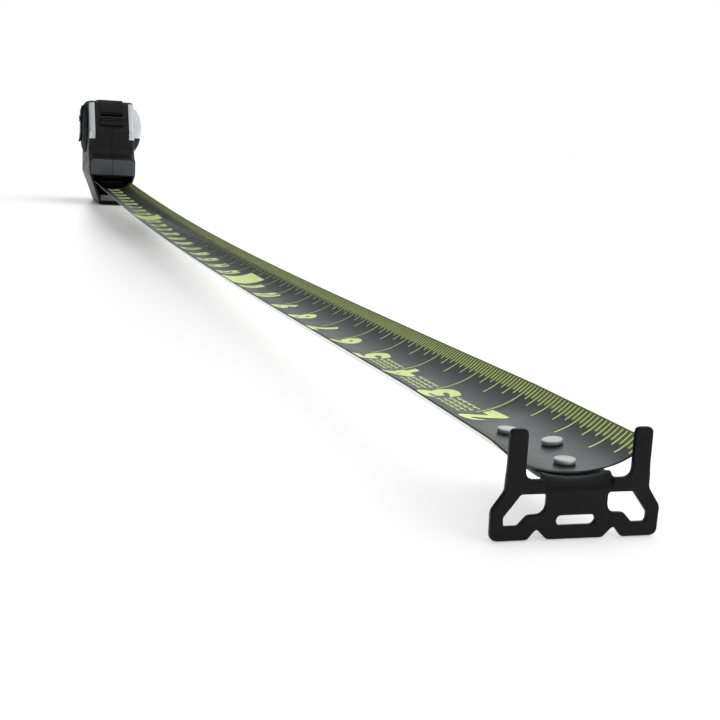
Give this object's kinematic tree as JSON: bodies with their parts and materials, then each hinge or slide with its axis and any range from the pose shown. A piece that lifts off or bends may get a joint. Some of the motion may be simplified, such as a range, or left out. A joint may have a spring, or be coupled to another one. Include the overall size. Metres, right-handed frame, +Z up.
{
  "type": "tape measure",
  "caption": "Pocket tape measure with its wide printed blade drawn out and locked, floating riveted hook, sprung spool, thumb lock and belt clip.",
  "frame": {"origin": "on the flat underside of the case's rubber foot, on the blade's centre plane, which is the level of the floor", "axes": "+X along the blade from the case to the hook, +Y to the blade's graduated edge, +Z up"},
  "size_m": [0.9371, 0.0513, 0.084],
  "materials": {
    "black_shell": "fine moulded texture, satin black",
    "rubber": "soft matt black overmould",
    "silver_trim": "satin silver coating",
    "lock_plastic": "moulded black, ridged",
    "acetal": "natural moulded",
    "steel": "bright",
    "spring_steel": "blued",
    "black_steel": "semi-gloss black",
    "blade_coating": "satin charcoal, printed pale lime"
  },
  "bodies": {
    "case": {"case_shell_left": "black_shell", "case_shell_right": "black_shell", "side_grip_left": "rubber", "side_grip_right": "rubber", "rubber_band": "rubber", "side_badge_right": "silver_trim", "trim_strip_left": "silver_trim", "trim_strip_right": "silver_trim", "belt_clip": "black_steel", "clip_screw": "steel", "case_screw_1": "steel", "case_screw_2": "steel", "case_screw_3": "steel", "case_screw_4": "steel", "mouth_wear_strip": "steel", "centre_post": "steel", "power_spring": "spring_steel", "blade_extended": "blade_coating"},
    "spool": {"spool_drum": "acetal", "spool_flange_left": "acetal", "spool_flange_right": "acetal", "blade_coil": "blade_coating"},
    "lock": {"thumb_button": "lock_plastic", "lock_arm": "lock_plastic", "brake_pad": "rubber"},
    "blade_end": {"blade_tip": "blade_coating", "hook_rivet_1": "steel", "hook_rivet_2": "steel", "hook_rivet_3": "steel"},
    "hook": {"end_hook": "black_steel"}
  },
  "joints": [
    {"name": "spool_turn", "type": "hinge", "parent": "case", "child": "spool", "pos_m": [-0.008, 0, 0.0521], "axis": [0, 1, 0], "range_deg": [0, 1798], "deforming": ["power_spring"]},
    {"name": "blade_pull", "type": "slide", "parent": "case", "child": "blade_end", "axis": [1, 0, -0.0032], "range_m": [-0.847, 0], "deforming": ["blade_extended"]},
    {"name": "hook_float", "type": "slide", "parent": "blade_end", "child": "hook", "axis": [1, 0, 0], "range_m": [-0.001, 0]},
    {"name": "thumb_lock", "type": "slide", "parent": "case", "child": "lock", "axis": [-0.5234, 0, 0.8521], "range_m": [0, 0.0038]}
  ],
  "couplings": [
    {"joint": "blade_pull", "follows": "spool_turn", "m_per_rad": -0.027}
  ]
}
